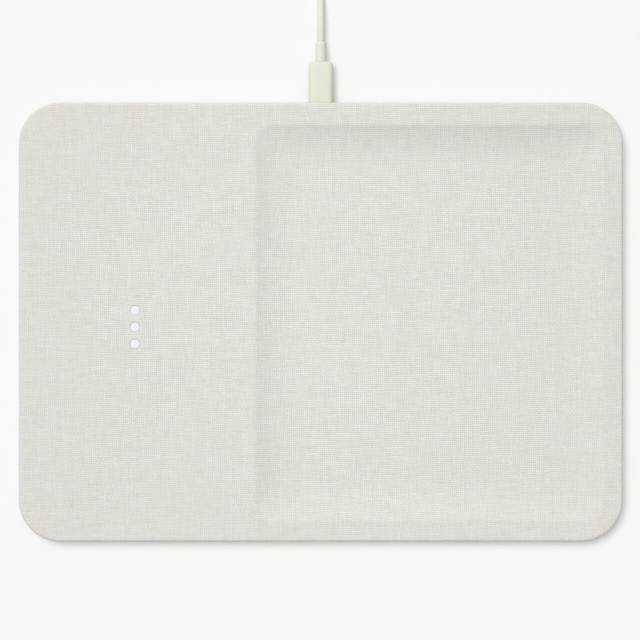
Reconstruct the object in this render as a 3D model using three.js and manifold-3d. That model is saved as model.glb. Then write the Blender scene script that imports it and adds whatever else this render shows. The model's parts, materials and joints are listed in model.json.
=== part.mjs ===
// A flat wireless charging pad covered in linen. The left zone charges a phone laid on three marker
// dots; the rest is a shallow scooped tray for keys and glasses. A USB-C cable plugs into the rear edge
// and its spare length is wound into a tied coil.
// Units are millimetres. X runs left to right, Y runs front to rear, Z is up.
// The origin is on the table, under the middle of the pad.
import * as THREE from "three";
import { mergeVertices } from "three/addons/utils/BufferGeometryUtils.js";
import Module from "manifold-3d";

// ---- Driving dimensions: the pad ----
const PAD_WIDTH = 260;
const PAD_DEPTH = 189;
const CORNER_RADIUS = 18;
const EDGE_FILLET = 1.2;
const SMALLEST_FILLET = 0.5; // on the inner forms that follow the pad's edge
const FABRIC_TOP = 12.6; // above the table
const FABRIC = 0.7; // linen with its adhesive
const FIT = 0.2; // clearance between the linen, the shell and the base
const WALL = 2; // shell thickness
const FOOT_HEIGHT = 1; // air under the base
const BASE_THICKNESS = 2.2;

// ---- Driving dimensions: the tray ----
const TRAY_WIDTH = 151;
const TRAY_DEPTH = 171.8;
const TRAY_X = 46.6; // centre of the tray
const TRAY_Y = -0.1;
const RIM_CORNER = 7; // corner radius at the rim
const FLOOR_CORNER = 12; // corner radius where the scoop meets the floor
const RIM_SLOPE = THREE.MathUtils.degToRad(20); // steepest part of the scoop
const LIP_RADIUS = 5; // convex arc at the rim
const SCOOP_RADIUS = 50; // concave arc down to the floor
const TRAY_LINING = 0.5; // how much wider the tray is under the linen
const TRAY_WALL = 1.6; // how much wider it is under the shell
const RIB = 1.2; // thickness of the ribs under the tray's floor
const RIB_OFFSETS_X = [-30, 30]; // from the tray's centre
const RIB_OFFSETS_Y = [-36, 36];

// ---- Driving dimensions: the marker dots and the coils under them ----
const DOT_RADIUS = 2.05;
const DOT_PITCH = 7.24;
const DOT_PROUD = 0.2;
const DOT_SHOULDER = 0.3; // from the dome's top down to its straight side
const CHARGE_X = -79.9;
const CHARGE_Y = -2.2;
const COIL_WIDTH = 50;
const COIL_LENGTH = 44;
const COIL_CORNER = 15;
const WINDOW_WIDTH = 26; // opening in the middle of a winding
const WINDOW_LENGTH = 20;
const WINDOW_CORNER = 6;
const COIL_STEP = 24; // from one coil's centre to the next
const COIL_THICKNESS = 0.9;
const LEAD_X = [-8, 0, 8]; // lead holes, across from the coils' centre line
const LEAD_RADIUS = 0.6;
const LEAD_HOLE_RADIUS = 2;
const LEAD_GAP = 0.25; // under the carrier
const LEAD_SPACING = 4; // at the connector
const THERMISTOR = { width: 3, depth: 2, height: 1 };

// ---- Driving dimensions: the coil carrier ----
const CARRIER_WIDTH = 60;
const CARRIER_LENGTH = 104;
const CARRIER_BOTTOM = 5;
const CARRIER_TOP = 6.2;
const CARRIER_CORNER = 3;
const EAR_REACH_X = 34; // from the carrier's centre to its screws
const EAR_REACH_Y = 40;
const EAR_RADIUS = 2.4;
const EAR_ROOT = 6; // from a screw back into the plate
const FENCE = 1.2; // thickness of the upright fences that hold the coils
const FENCE_SETBACK = 3; // from the plate's ends
const FENCE_GAP = 0.7; // under the shell
const FERRITE_WIDTH = 56;
const FERRITE_LENGTH = 101;
const FERRITE_THICKNESS = 0.8;
const FERRITE_CORNER = 1.5;

// ---- Driving dimensions: the main board ----
const BOARD_BOTTOM = 4.4;
const BOARD_TOP = 5.4;
const BOARD_LEFT = -98;
const BOARD_RIGHT = -34;
const BOARD_FRONT = 60;
const BOARD_REAR = 91.2;
const BOARD_NECK = 81.4; // front edge of the strip that reaches the socket
const NECK_RIGHT = 14;
const CONNECTOR_X = CHARGE_X + 14;
const CONNECTOR_Y = BOARD_FRONT + 2.4;
const CHIP_CORNER = 0.4;

// ---- Driving dimensions: feet and screws ----
const FOOT_PLACES = placesAt([-114, 0, 114], [-78, 78]);
const FOOT_RADIUS = 7;
const FOOT_RECESS = 0.4;
const FOOT_EASE = 0.4; // rounded lower edge
const SCREW_HEAD_RADIUS = 2.3;
const SCREW_HEAD_HEIGHT = 0.8;
const SCREW_RADIUS = 1.1;
const HEAD_POCKET = 1; // from the foot's recess up to the top of the head's pocket
const BOSS_RADIUS = 2.8;
const BOSS_ROOT = 1; // how far below the shell's top a boss ends, inside its wall
const HOUSING_SCREW_TOP = 5.6;
const CARRIER_SCREWS = placesAt(
  [CHARGE_X - EAR_REACH_X, CHARGE_X + EAR_REACH_X],
  [CHARGE_Y - EAR_REACH_Y, CHARGE_Y + EAR_REACH_Y],
);
const BOARD_SCREWS = placesAt([-92, -40], [66]);
const SMALL_SCREW_RADIUS = 0.9;
const SMALL_SCREW_LENGTH = 4;
const SMALL_HEAD_RADIUS = 1.8;
const SMALL_HEAD_HEIGHT = 0.7;
const SMALL_BOSS_RADIUS = 2.3;
const PILOT_GAP = 0.15; // round a screw in its boss
const PILOT_ROOF = 0.6; // from the end of a small screw's pilot to the shell

// ---- Driving dimensions: the socket and the plugs ----
const PORT_Z = 7.1; // centre of the socket and of the plug in it
const PORT_GAP = 0.4; // round the plug's grip in the rear edge
const PORT_CORNER = 1.5;
const PORT_RECESS = 0.4; // how far the plug's grip is let into the shell
const SOCKET_SETBACK = 0.5; // from the shell's rear face
const SOCKET_LENGTH = 8;
const SOCKET_WIDTH = 8.94;
const SOCKET_HEIGHT = 3.2;
const SOCKET_CORNER = 1.4;
const SOCKET_GAP = 0.3; // round the socket in the shell
const SHEET_METAL = 0.25;
const TONGUE_WIDTH = 6.7;
const TONGUE_THICKNESS = 0.7;
const TONGUE_CORNER = 0.2;
const TONGUE_SETBACK = 1; // from the socket's mouth
const TONGUE_ROOT = { width: 8.2, height: 2.5, corner: 1, length: 1.2 };
const PLUG_METAL_WIDTH = 8.25;
const PLUG_METAL_HEIGHT = 2.4;
const PLUG_METAL_LENGTH = 6.5;
const PLUG_METAL_WALL = 0.3;
const PLUG_METAL_CORNER = 1.1;
const PLUG_METAL_FLOOR = 0.8; // closed stretch next to the grip
const PLUG_WIDTH = 10.5;
const PLUG_THICKNESS = 6.2;
const PLUG_LENGTH = 18.9; // moulded grip
const PLUG_CORNER = 2.2;
const GRIP_FRONT_EASE = 0.3; // towards its metal mouth
const GRIP_REAR_EASE = 0.8; // towards its cord
const RELIEF_RADIUS = 2.3;
const RELIEF_LENGTH = 8.8;
const RELIEF_TAPER = 1.6; // length of its narrowing end

// ---- Driving dimensions: the cord, 1.8 m in all ----
// It goes straight out of the plug, down to the table and into a tied coil.
const CORD_DIAMETER = 3;
const COIL_TURN_RADIUS = 18; // at the middle of the turns
const COIL_BUNDLE = 12.4; // four turns wide and four high
const COIL_X = 22.5;
const COIL_Y = 170.5;
const BUNDLE_EASE = 1; // along the bundle's edges
const TIE_THICKNESS = 0.5;
const TIE_WIDTH = 6;
const TIE_SLACK = 0.3; // beside the bundle
const TIE_CORNER = 1;
const CORD_GAP = 0.3; // between the cord's stretches and the pieces they meet
const CORD_RUN = [
  [0, 126, 7],
  [0, 131, 6.3],
  [0, 137, 4.7],
  [0, 143, 2.9],
  [0, 149, 1.9],
  [0, 154, 1.65],
  [0, 157.6, 1.7],
];
const CORD_TAIL = [
  [35.6, 193, 11.2],
  [42, 193, 10.5],
  [49, 192.8, 8.2],
  [56, 192.3, 5.4],
  [62, 191.5, 3.7],
  [68, 190.3, 3.2],
];
const FAR_PLUG_TURN = THREE.MathUtils.degToRad(78); // it points right and a little forwards

// ---- Places worked out from those ----
const BASE_TOP = FOOT_HEIGHT + BASE_THICKNESS;
const HEAD_SEAT = FOOT_HEIGHT + FOOT_RECESS + HEAD_POCKET; // top of the recess that holds a screw's head
const SHELL_BOTTOM = FOOT_HEIGHT + FABRIC + FIT;
const SHELL_TOP = FABRIC_TOP - FABRIC - FIT;
const CEILING = SHELL_TOP - WALL; // underside of the shell over the charging zone
const SCOOP_WIDTH = (LIP_RADIUS + SCOOP_RADIUS) * Math.sin(RIM_SLOPE);
const TRAY_FLOOR = FABRIC_TOP - (LIP_RADIUS + SCOOP_RADIUS) * (1 - Math.cos(RIM_SLOPE));
const SHELL_INSET = FABRIC + FIT;
const CAVITY_INSET = SHELL_INSET + WALL;
const BASE_INSET = CAVITY_INSET + FIT;
const REAR = PAD_DEPTH / 2;
const SOCKET_MOUTH = REAR - SHELL_INSET - SOCKET_SETBACK;
const GRIP_FRONT = SOCKET_MOUTH + FIT; // the grip's face when the plug is home
const CONTACT_GAP = 0.1; // between pieces that rest on each other
const PLUG_END = GRIP_FRONT + PLUG_LENGTH + CONTACT_GAP + RELIEF_LENGTH;
const OVERCUT = 3; // how far a cutting solid runs past what it cuts

// ---- Fineness of the round shapes ----
const EDGE_STEPS = 8;
const RIM_STEPS = 6;
const SCOOP_STEPS = 5;
const LIP_STEPS = 2;
const FILLET_STEPS = 3;
const ROUND_SIDES = 16;
const SCREW_SIDES = 8;
const CORD_SIDES = 8;
const CORD_STEPS = 9;
const COIL_SIDES = 28;
const SMALL_STEPS = 4;

// Every pairing of the given X and Y values.
function placesAt(xs, ys) {
  return xs.flatMap((x) => ys.map((y) => [x, y]));
}

const wasm = await Module();
wasm.setup();

// ---- Materials ----
function material(color, roughness, metalness = 0) {
  return new THREE.MeshStandardMaterial({ color, roughness, metalness });
}

const LINEN = material(0xdfdcd6, 0.95);
const DOT_SILICONE = material(0xf0eff1, 0.55);
const SHELL_PLASTIC = material(0xd9d6cf, 0.6);
const BASE_PLASTIC = material(0xcfccc5, 0.55);
const FOOT_SILICONE = material(0xb9b6ae, 0.8);
const CARRIER_PLASTIC = material(0x2b2c2e, 0.6);
const FERRITE = material(0x34353a, 0.7, 0.2);
const COPPER = material(0xb4623a, 0.4, 0.9);
const BOARD_LAMINATE = material(0x1f4a34, 0.5);
const CHIP_RESIN = material(0x18191b, 0.5);
const CAPACITOR_FILM = material(0xa88c52, 0.45);
const NATURAL_NYLON = material(0xe9e6da, 0.5);
const STEEL = material(0xb8b9bc, 0.3, 1);
const CORD_PLASTIC = material(0xe7e6da, 0.5);
const TIE_FABRIC = material(0xd8d6cc, 0.9);

// ---- Outlines ----
// A rounded rectangle drawn anticlockwise about (x, y).
function roundedRectangle(width, depth, radius, x = 0, y = 0) {
  const right = x + width / 2 - radius;
  const left = x - width / 2 + radius;
  const rear = y + depth / 2 - radius;
  const front = y - depth / 2 + radius;
  const shape = new THREE.Shape();
  shape.absarc(right, rear, radius, 0, Math.PI / 2);
  shape.absarc(left, rear, radius, Math.PI / 2, Math.PI);
  shape.absarc(left, front, radius, Math.PI, Math.PI * 1.5);
  shape.absarc(right, front, radius, Math.PI * 1.5, Math.PI * 2);
  return shape;
}

function polygon(corners) {
  return new THREE.Shape(corners.map(([x, y]) => new THREE.Vector2(x, y)));
}

// ---- Solids ----
// An outline raised from one height to another.
function prism(shape, bottom, top, cornerSteps = SMALL_STEPS) {
  const options = { depth: top - bottom, bevelEnabled: false, curveSegments: cornerSteps / 2 };
  return new THREE.ExtrudeGeometry(shape, options).translate(0, 0, bottom);
}

// A block between two corners.
function block([x0, y0, z0], [x1, y1, z1]) {
  const box = new THREE.BoxGeometry(x1 - x0, y1 - y0, z1 - z0);
  return box.translate((x0 + x1) / 2, (y0 + y1) / 2, (z0 + z1) / 2);
}

// An upright cylinder.
function post(radius, bottom, top, x = 0, y = 0, sides = SCREW_SIDES) {
  const cylinder = new THREE.CylinderGeometry(radius, radius, top - bottom, sides);
  return cylinder.rotateX(Math.PI / 2).translate(x, y, (bottom + top) / 2);
}

// A profile of [radius, height] points, listed from the bottom up, turned about the Z axis.
function turned(profile, sides) {
  const points = profile.map(([radius, height]) => new THREE.Vector2(radius, height));
  return new THREE.LatheGeometry(points, sides).rotateX(Math.PI / 2);
}

// A closed solid through level rounded rectangles, listed from the bottom up.
function loft(levels, cornerSteps) {
  const outlines = levels.map(({ width, depth, radius, x = 0, y = 0 }) =>
    roundedRectangle(width, depth, radius, x, y).getPoints(cornerSteps / 2),
  );
  const count = outlines[0].length;
  const positions = outlines.flatMap((outline, level) =>
    outline.flatMap((point) => [point.x, point.y, levels[level].z]),
  );
  const faces = [];
  for (let level = 0; level < levels.length - 1; level += 1) {
    for (let i = 0; i < count; i += 1) {
      const a = level * count + i;
      const b = level * count + ((i + 1) % count);
      faces.push(a, b, b + count, a, b + count, a + count);
    }
  }
  const top = (levels.length - 1) * count;
  THREE.ShapeUtils.triangulateShape(outlines[0], []).forEach(([a, b, c]) => faces.push(c, b, a));
  THREE.ShapeUtils.triangulateShape(outlines.at(-1), []).forEach(([a, b, c]) =>
    faces.push(top + a, top + b, top + c),
  );
  const geometry = new THREE.BufferGeometry();
  geometry.setAttribute("position", new THREE.Float32BufferAttribute(positions, 3));
  geometry.setIndex(faces);
  return geometry;
}

// A round cord of even thickness along a smooth curve through the given points.
function cordAlong(points, radius, sides, steps) {
  const route = new THREE.CatmullRomCurve3(points.map((point) => new THREE.Vector3(...point)));
  const section = new THREE.Shape();
  for (let i = 0; i < sides; i += 1) {
    const angle = (2 * Math.PI * i) / sides;
    const corner = [radius * Math.cos(angle), radius * Math.sin(angle)];
    if (i === 0) section.moveTo(...corner);
    else section.lineTo(...corner);
  }
  return new THREE.ExtrudeGeometry(section, { steps, extrudePath: route, bevelEnabled: false });
}

// ---- Joining and cutting ----
function solid(geometry) {
  const bare = geometry.clone();
  bare.deleteAttribute("normal");
  bare.deleteAttribute("uv");
  const merged = mergeVertices(bare, 1e-4);
  const vertProperties = merged.attributes.position.array;
  const triVerts = Uint32Array.from(merged.index.array);
  return new wasm.Manifold(new wasm.Mesh({ numProp: 3, vertProperties, triVerts }));
}

function cut(body, ...tools) {
  return tools.reduce((left, tool) => left.subtract(solid(tool)), body);
}

function join(body, ...pieces) {
  return pieces.reduce((whole, piece) => whole.add(solid(piece)), body);
}

function geometryOf(body) {
  const { vertProperties, triVerts } = body.getMesh();
  const geometry = new THREE.BufferGeometry();
  geometry.setAttribute("position", new THREE.BufferAttribute(Float32Array.from(vertProperties), 3));
  geometry.setIndex(new THREE.BufferAttribute(Uint32Array.from(triVerts), 1));
  geometry.computeVertexNormals();
  return geometry;
}

function addPart(group, name, geometry, finish, x = 0, y = 0, z = 0) {
  const mesh = new THREE.Mesh(geometry, finish);
  mesh.name = name;
  mesh.position.set(x, y, z);
  group.add(mesh);
  return mesh;
}

// ---- The pad's outer form and the tray's form, each at any offset ----
// The pad's slab set in from its outline, with its upper edge rounded.
function slab(inset, bottom, top) {
  const outline = { width: PAD_WIDTH - 2 * inset, depth: PAD_DEPTH - 2 * inset };
  const radius = CORNER_RADIUS - inset;
  const fillet = Math.max(EDGE_FILLET - inset / 2, SMALLEST_FILLET);
  const levels = [{ ...outline, radius, z: bottom }];
  for (let i = 0; i <= FILLET_STEPS; i += 1) {
    const angle = (Math.PI / 2) * (i / FILLET_STEPS);
    const pull = fillet * (1 - Math.cos(angle));
    levels.push({
      width: outline.width - 2 * pull,
      depth: outline.depth - 2 * pull,
      radius: radius - pull,
      z: top - fillet * (1 - Math.sin(angle)),
    });
  }
  return loft(levels, EDGE_STEPS);
}

// The air in the tray, lowered by drop and widened by grow, running up past the rim.
function trayForm(drop, grow) {
  const slopes = [];
  for (let i = 0; i <= SCOOP_STEPS; i += 1) {
    const slope = (RIM_SLOPE * i) / SCOOP_STEPS;
    const inset = SCOOP_WIDTH - SCOOP_RADIUS * Math.sin(slope);
    slopes.push([inset, TRAY_FLOOR + SCOOP_RADIUS * (1 - Math.cos(slope))]);
  }
  for (let i = LIP_STEPS - 1; i >= 0; i -= 1) {
    const slope = (RIM_SLOPE * i) / LIP_STEPS;
    slopes.push([LIP_RADIUS * Math.sin(slope), FABRIC_TOP - LIP_RADIUS * (1 - Math.cos(slope))]);
  }
  slopes.push([0, FABRIC_TOP + drop + OVERCUT]);
  const levels = slopes.map(([inset, height]) => ({
    width: TRAY_WIDTH - 2 * inset + 2 * grow,
    depth: TRAY_DEPTH - 2 * inset + 2 * grow,
    radius: RIM_CORNER + (FLOOR_CORNER - RIM_CORNER) * (inset / SCOOP_WIDTH) + grow,
    x: TRAY_X,
    y: TRAY_Y,
    z: height - drop,
  }));
  return loft(levels, RIM_STEPS);
}

// A prism along +Y: the outline's X stays X, its Y becomes height about z = 0.
function alongY(shape, front, rear) {
  return prism(shape, 0, rear - front).rotateX(Math.PI / 2).translate(0, rear, 0);
}

// An opening through the rear edge for the plug's grip, from the given front to past the edge.
function gripOpening(front) {
  const outline = roundedRectangle(PLUG_WIDTH + 2 * PORT_GAP, PLUG_THICKNESS + 2 * PORT_GAP, PORT_CORNER);
  return alongY(outline, front, REAR + OVERCUT).translate(0, 0, PORT_Z);
}

// ---- Linen ----
function fabricCover() {
  const lining = solid(slab(FABRIC, FOOT_HEIGHT + FABRIC, FABRIC_TOP - FABRIC));
  const outside = solid(slab(0, FOOT_HEIGHT, FABRIC_TOP));
  const hollow = outside.subtract(cut(lining, trayForm(FABRIC, TRAY_LINING)));
  const underside = slab(BASE_INSET, FOOT_HEIGHT - OVERCUT, FABRIC_TOP / 2);
  const dotHoles = dotPlaces().map(([x, y]) =>
    post(DOT_RADIUS + FIT, SHELL_TOP, FABRIC_TOP + OVERCUT, x, y, ROUND_SIDES),
  );
  return geometryOf(cut(hollow, trayForm(0, 0), underside, gripOpening(REAR - OVERCUT), ...dotHoles));
}

function dotPlaces() {
  return [-1, 0, 1].map((step) => [CHARGE_X, CHARGE_Y + step * DOT_PITCH]);
}

// A low dome on a straight-sided disc.
function markerDot() {
  const bottom = SHELL_TOP + CONTACT_GAP;
  const top = FABRIC_TOP + DOT_PROUD;
  const profile = [
    [0, bottom],
    [DOT_RADIUS, bottom],
    [DOT_RADIUS, top - DOT_SHOULDER],
    [DOT_RADIUS * 0.8, top - DOT_PROUD * 0.4],
    [0, top],
  ];
  return turned(profile, ROUND_SIDES);
}

// ---- Housing ----
// Low ribs under the tray's floor, which is the thinnest space in the housing.
function floorRibs() {
  const bottom = BASE_TOP + FIT;
  const top = TRAY_FLOOR - CAVITY_INSET + FIT;
  const reachX = TRAY_WIDTH / 2 - SCOOP_WIDTH;
  const reachY = TRAY_DEPTH / 2 - SCOOP_WIDTH;
  const along = RIB_OFFSETS_X.map((x) =>
    block([TRAY_X + x, -reachY, bottom], [TRAY_X + x + RIB, reachY, top]),
  );
  const across = RIB_OFFSETS_Y.map((y) =>
    block([TRAY_X - reachX, y, bottom], [TRAY_X + reachX, y + RIB, top]),
  );
  return [...along, ...across];
}

// A boss hangs from the shell down to what its screw holds.
function bosses(places, radius, bottom) {
  return places.map(([x, y]) => post(radius, bottom + CONTACT_GAP, SHELL_TOP - BOSS_ROOT, x, y));
}

function topShell() {
  const outer = solid(slab(SHELL_INSET, SHELL_BOTTOM, SHELL_TOP));
  const inner = solid(slab(CAVITY_INSET, SHELL_BOTTOM - OVERCUT, CEILING));
  const hollow = outer.subtract(cut(inner, trayForm(CAVITY_INSET, TRAY_WALL)));
  const ribbed = join(
    hollow,
    ...bosses(FOOT_PLACES, BOSS_RADIUS, BASE_TOP),
    ...bosses(CARRIER_SCREWS, SMALL_BOSS_RADIUS, CARRIER_TOP),
    ...bosses(BOARD_SCREWS, SMALL_BOSS_RADIUS, BOARD_TOP),
    ...floorRibs(),
  );
  const housingPilots = FOOT_PLACES.map(([x, y]) =>
    post(SCREW_RADIUS + PILOT_GAP, 0, HOUSING_SCREW_TOP + FIT, x, y),
  );
  const smallPilots = [...CARRIER_SCREWS, ...BOARD_SCREWS].map(([x, y]) =>
    post(SMALL_SCREW_RADIUS + PILOT_GAP, 0, CEILING - PILOT_ROOF, x, y),
  );
  const recess = gripOpening(REAR - SHELL_INSET - PORT_RECESS);
  const socketOutline = roundedRectangle(
    SOCKET_WIDTH + 2 * SOCKET_GAP,
    SOCKET_HEIGHT + 2 * SOCKET_GAP,
    SOCKET_HEIGHT / 2 - SOCKET_GAP,
  );
  const socketHole = alongY(socketOutline, REAR - CAVITY_INSET - OVERCUT, REAR).translate(0, 0, PORT_Z);
  const tray = trayForm(SHELL_INSET, FIT + TRAY_LINING);
  return geometryOf(cut(ribbed, tray, ...housingPilots, ...smallPilots, recess, socketHole));
}

function basePlate() {
  const width = PAD_WIDTH - 2 * BASE_INSET;
  const depth = PAD_DEPTH - 2 * BASE_INSET;
  const outline = roundedRectangle(width, depth, CORNER_RADIUS - BASE_INSET);
  const plate = solid(prism(outline, FOOT_HEIGHT, BASE_TOP, EDGE_STEPS));
  const recesses = FOOT_PLACES.flatMap(([x, y]) => [
    post(FOOT_RADIUS + FIT, 0, FOOT_HEIGHT + FOOT_RECESS, x, y, ROUND_SIDES),
    post(SCREW_HEAD_RADIUS + FIT, 0, HEAD_SEAT, x, y),
    post(SCREW_RADIUS + FIT, 0, BASE_TOP + OVERCUT, x, y),
  ]);
  return geometryOf(cut(plate, ...recesses));
}

function foot() {
  const top = FOOT_HEIGHT + FOOT_RECESS - CONTACT_GAP / 2;
  const profile = [
    [0, 0],
    [FOOT_RADIUS - FOOT_EASE, 0],
    [FOOT_RADIUS, FOOT_EASE],
    [FOOT_RADIUS, top],
    [0, top],
  ];
  return turned(profile, ROUND_SIDES);
}

// A pan-head screw standing on its head.
function screw(headRadius, headHeight, radius, length) {
  const profile = [
    [0, 0],
    [headRadius, 0],
    [headRadius, headHeight],
    [radius, headHeight],
    [radius, length],
    [0, length],
  ];
  return turned(profile, SCREW_SIDES);
}

// ---- Charging coils ----
function coilCentres() {
  return [-1, 0, 1].map((step) => CHARGE_Y + step * COIL_STEP);
}

function leadHoles() {
  return coilCentres().map((y, i) => post(LEAD_HOLE_RADIUS, 0, CEILING, CHARGE_X + LEAD_X[i], y));
}

// A plate with an ear for each screw and two upright fences, one along each side.
function coilCarrier() {
  const outline = roundedRectangle(CARRIER_WIDTH, CARRIER_LENGTH, CARRIER_CORNER, CHARGE_X, CHARGE_Y);
  const plate = solid(prism(outline, CARRIER_BOTTOM, CARRIER_TOP));
  const ears = CARRIER_SCREWS.map(([x, y]) => {
    const rootX = x + EAR_ROOT * Math.sign(CHARGE_X - x);
    const near = [Math.min(x, rootX), y - EAR_RADIUS, CARRIER_BOTTOM];
    return block(near, [Math.max(x, rootX), y + EAR_RADIUS, CARRIER_TOP]);
  });
  const earEnds = CARRIER_SCREWS.map(([x, y]) => post(EAR_RADIUS, CARRIER_BOTTOM, CARRIER_TOP, x, y));
  const reach = CARRIER_LENGTH / 2 - FENCE_SETBACK;
  const fences = [-1, 1].map((side) => {
    const x = CHARGE_X + (side * (CARRIER_WIDTH - FENCE)) / 2;
    const low = [x - FENCE / 2, CHARGE_Y - reach, CARRIER_TOP - FIT];
    return block(low, [x + FENCE / 2, CHARGE_Y + reach, CEILING - FENCE_GAP]);
  });
  const whole = join(plate, ...ears, ...earEnds, ...fences);
  const screwHoles = CARRIER_SCREWS.map(([x, y]) => post(SMALL_SCREW_RADIUS + FIT, 0, CEILING, x, y));
  return geometryOf(cut(whole, ...screwHoles, ...leadHoles()));
}

function ferriteSheet() {
  const bottom = CARRIER_TOP + CONTACT_GAP;
  const outline = roundedRectangle(FERRITE_WIDTH, FERRITE_LENGTH, FERRITE_CORNER, CHARGE_X, CHARGE_Y);
  return geometryOf(cut(solid(prism(outline, bottom, bottom + FERRITE_THICKNESS)), ...leadHoles()));
}

// A flat winding with an open window, its lower face at z = 0.
function chargingCoil() {
  const outline = roundedRectangle(COIL_WIDTH, COIL_LENGTH, COIL_CORNER);
  outline.holes.push(roundedRectangle(WINDOW_WIDTH, WINDOW_LENGTH, WINDOW_CORNER));
  return prism(outline, 0, COIL_THICKNESS);
}

// ---- Electronics ----
function mainBoard() {
  const outline = polygon([
    [BOARD_LEFT, BOARD_FRONT],
    [BOARD_RIGHT, BOARD_FRONT],
    [BOARD_RIGHT, BOARD_NECK],
    [NECK_RIGHT, BOARD_NECK],
    [NECK_RIGHT, BOARD_REAR],
    [BOARD_LEFT, BOARD_REAR],
  ]);
  const board = solid(prism(outline, BOARD_BOTTOM, BOARD_TOP));
  const holes = BOARD_SCREWS.map(([x, y]) => post(SMALL_SCREW_RADIUS + FIT, 0, BOARD_TOP + OVERCUT, x, y));
  return geometryOf(cut(board, ...holes));
}

// A part on the board: its name, plan position, width, depth, height and finish.
const BOARD_PARTS = [
  ["controller_chip", -66, 76, 7, 7, 0.9, CHIP_RESIN],
  ["bridge_driver_1", -82, 70, 5, 5, 0.9, CHIP_RESIN],
  ["bridge_driver_2", -82, 78, 5, 5, 0.9, CHIP_RESIN],
  ["resonant_capacitor_1", -93, 76, 5, 4, 2.4, CAPACITOR_FILM],
  ["resonant_capacitor_2", -93, 81.5, 5, 4, 2.4, CAPACITOR_FILM],
  ["resonant_capacitor_3", -93, 87, 5, 4, 2.4, CAPACITOR_FILM],
  ["power_inductor", -48, 76, 8, 8, 3.4, CHIP_RESIN],
  ["port_power_chip", -20, 86.5, 4, 4, 0.9, CHIP_RESIN],
  ["coil_connector", CONNECTOR_X, CONNECTOR_Y, 12, 4, 3, NATURAL_NYLON],
];

function addBoardParts(group) {
  for (const [name, x, y, width, depth, height, finish] of BOARD_PARTS) {
    const outline = roundedRectangle(width, depth, CHIP_CORNER);
    addPart(group, name, prism(outline, 0, height, 2), finish, x, y, BOARD_TOP + CONTACT_GAP);
  }
}

// A lead drops through the carrier from its coil's window, runs under it and rises to the connector.
function coilLead(index) {
  const start = CHARGE_X + LEAD_X[index];
  const end = CONNECTOR_X + LEAD_SPACING * (index - 1);
  const y = coilCentres()[index];
  const low = CARRIER_BOTTOM - LEAD_RADIUS - LEAD_GAP;
  const points = [
    [start, y, CARRIER_TOP + 2.2],
    [start, y, low + 1],
    [start, y + 0.8, low],
    [start, y + 6, low],
    [end, BOARD_FRONT - 6, low],
    [end, BOARD_FRONT - 1.6, low + 0.6],
    [end, BOARD_FRONT - 0.9, BOARD_TOP + 1.2],
    [end, BOARD_FRONT + 0.2, BOARD_TOP + 1.7],
  ];
  return cordAlong(points, LEAD_RADIUS, 6, 20);
}

// ---- Socket and plugs ----
function socketShell() {
  const outline = roundedRectangle(SOCKET_WIDTH, SOCKET_HEIGHT, SOCKET_CORNER);
  const innerWidth = SOCKET_WIDTH - 2 * SHEET_METAL;
  const innerHeight = SOCKET_HEIGHT - 2 * SHEET_METAL;
  outline.holes.push(roundedRectangle(innerWidth, innerHeight, SOCKET_CORNER - SHEET_METAL));
  return alongY(outline, SOCKET_MOUTH - SOCKET_LENGTH, SOCKET_MOUTH);
}

function socketTongue() {
  const back = SOCKET_MOUTH - SOCKET_LENGTH + CONTACT_GAP;
  const { width, height, corner, length } = TONGUE_ROOT;
  const root = alongY(roundedRectangle(width, height, corner), back, back + length);
  const outline = roundedRectangle(TONGUE_WIDTH, TONGUE_THICKNESS, TONGUE_CORNER);
  const tongue = alongY(outline, back + length - FIT, SOCKET_MOUTH - TONGUE_SETBACK);
  return geometryOf(join(solid(root), tongue));
}

// The plug's metal mouth: open at its tip, closed where it enters the grip at y = 0.
function plugShell() {
  const outline = roundedRectangle(PLUG_METAL_WIDTH, PLUG_METAL_HEIGHT, PLUG_METAL_CORNER);
  const hollow = roundedRectangle(
    PLUG_METAL_WIDTH - 2 * PLUG_METAL_WALL,
    PLUG_METAL_HEIGHT - 2 * PLUG_METAL_WALL,
    PLUG_METAL_CORNER - PLUG_METAL_WALL,
  );
  const outside = solid(alongY(outline, -PLUG_METAL_LENGTH, 0));
  return geometryOf(cut(outside, alongY(hollow, -PLUG_METAL_LENGTH - OVERCUT, -PLUG_METAL_FLOOR)));
}

// The moulded grip, from its front face at y = 0, with its edges and ends eased.
function plugGrip() {
  const level = (pull, z) => ({
    width: PLUG_WIDTH - 2 * pull,
    depth: PLUG_THICKNESS - 2 * pull,
    radius: PLUG_CORNER - pull * 0.75,
    z,
  });
  const levels = [
    level(GRIP_REAR_EASE, 0),
    level(0, GRIP_REAR_EASE),
    level(0, PLUG_LENGTH - GRIP_FRONT_EASE),
    level(GRIP_FRONT_EASE, PLUG_LENGTH),
  ];
  return loft(levels, SMALL_STEPS).rotateX(Math.PI / 2).translate(0, PLUG_LENGTH, 0);
}

function strainRelief() {
  const profile = [
    [0, 0],
    [RELIEF_RADIUS, 0],
    [RELIEF_RADIUS, RELIEF_LENGTH - RELIEF_TAPER],
    [CORD_DIAMETER / 2 + FIT, RELIEF_LENGTH],
    [0, RELIEF_LENGTH],
  ];
  return turned(profile, ROUND_SIDES).rotateX(-Math.PI / 2);
}

// A whole plug with its metal mouth towards -Y; the grip's front face is at the group's origin.
function addPlug(group, prefix) {
  addPart(group, `${prefix}plug_shell`, plugShell(), STEEL, 0, -CONTACT_GAP / 2, 0);
  addPart(group, `${prefix}plug_grip`, plugGrip(), CORD_PLASTIC);
  addPart(group, `${prefix}strain_relief`, strainRelief(), CORD_PLASTIC, 0, PLUG_LENGTH + CONTACT_GAP, 0);
}

// ---- Cord ----
function cordStretch(points) {
  return cordAlong(points, CORD_DIAMETER / 2, CORD_SIDES, CORD_STEPS);
}

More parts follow.
